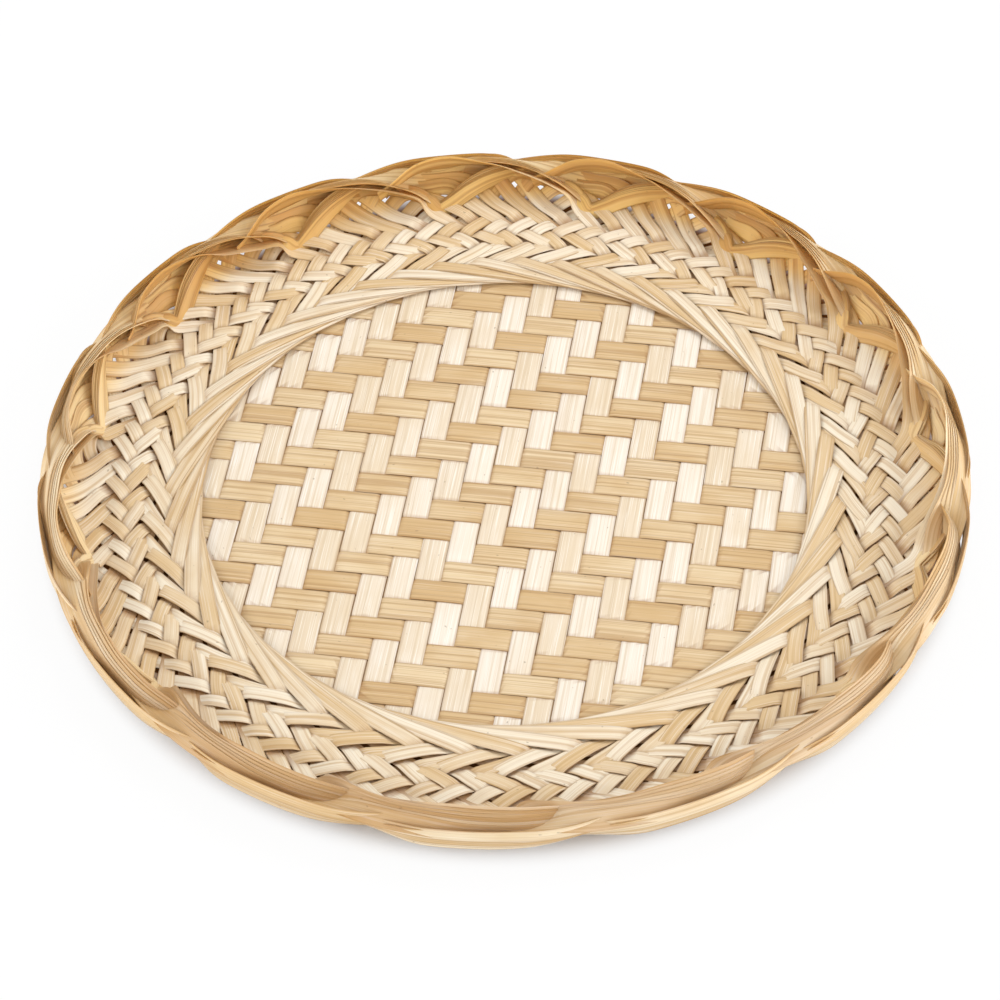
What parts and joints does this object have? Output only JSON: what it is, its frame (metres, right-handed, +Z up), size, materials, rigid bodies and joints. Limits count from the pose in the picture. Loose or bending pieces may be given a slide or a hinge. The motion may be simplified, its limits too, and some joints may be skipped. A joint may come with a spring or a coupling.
{
  "type": "woven bamboo tray",
  "caption": "Round shallow bamboo tray with a flat twill mat, an openwork woven wall and a plaited rim of arched splints.",
  "frame": {"origin": "centre of the mat, on the surface that the tray stands on", "axes": "+Z up out of the tray's open side, +X along the mat's wefts, +Y along its warps"},
  "size_m": [0.3005, 0.3005, 0.021],
  "materials": {
    "warp_bamboo": "satin",
    "weft_bamboo": "satin",
    "splint_bamboo": "satin"
  },
  "bodies": {
    "root": {"mat_warp_01": "warp_bamboo", "mat_warp_02": "warp_bamboo", "mat_warp_03": "warp_bamboo", "mat_warp_04": "warp_bamboo", "mat_warp_05": "warp_bamboo", "mat_warp_06": "warp_bamboo", "mat_warp_07": "warp_bamboo", "mat_warp_08": "warp_bamboo", "mat_warp_09": "warp_bamboo", "mat_warp_10": "warp_bamboo", "mat_warp_11": "warp_bamboo", "mat_warp_12": "warp_bamboo", "mat_warp_13": "warp_bamboo", "mat_warp_14": "warp_bamboo", "mat_warp_15": "warp_bamboo", "mat_warp_16": "warp_bamboo", "mat_warp_17": "warp_bamboo", "mat_warp_18": "warp_bamboo", "mat_warp_19": "warp_bamboo", "mat_warp_20": "warp_bamboo", "mat_warp_21": "warp_bamboo", "mat_warp_22": "warp_bamboo", "mat_warp_23": "warp_bamboo", "mat_weft_01": "weft_bamboo", "mat_weft_02": "weft_bamboo", "mat_weft_03": "weft_bamboo", "mat_weft_04": "weft_bamboo", "mat_weft_05": "weft_bamboo", "mat_weft_06": "weft_bamboo", "mat_weft_07": "weft_bamboo", "mat_weft_08": "weft_bamboo", "mat_weft_09": "weft_bamboo", "mat_weft_10": "weft_bamboo", "mat_weft_11": "weft_bamboo", "mat_weft_12": "weft_bamboo", "mat_weft_13": "weft_bamboo", "mat_weft_14": "weft_bamboo", "mat_weft_15": "weft_bamboo", "mat_weft_16": "weft_bamboo", "mat_weft_17": "weft_bamboo", "mat_weft_18": "weft_bamboo", "mat_weft_19": "weft_bamboo", "mat_weft_20": "weft_bamboo", "mat_weft_21": "weft_bamboo", "mat_weft_22": "weft_bamboo", "splint_bundle_01": "splint_bamboo", "splint_bundle_02": "splint_bamboo", "splint_bundle_03": "splint_bamboo", "splint_bundle_04": "splint_bamboo", "splint_bundle_05": "splint_bamboo", "splint_bundle_06": "splint_bamboo", "splint_bundle_07": "splint_bamboo", "splint_bundle_08": "splint_bamboo", "splint_bundle_09": "splint_bamboo", "splint_bundle_10": "splint_bamboo", "splint_bundle_11": "splint_bamboo", "splint_bundle_12": "splint_bamboo", "splint_bundle_13": "splint_bamboo", "splint_bundle_14": "splint_bamboo", "splint_bundle_15": "splint_bamboo"}
  },
  "joints": []
}
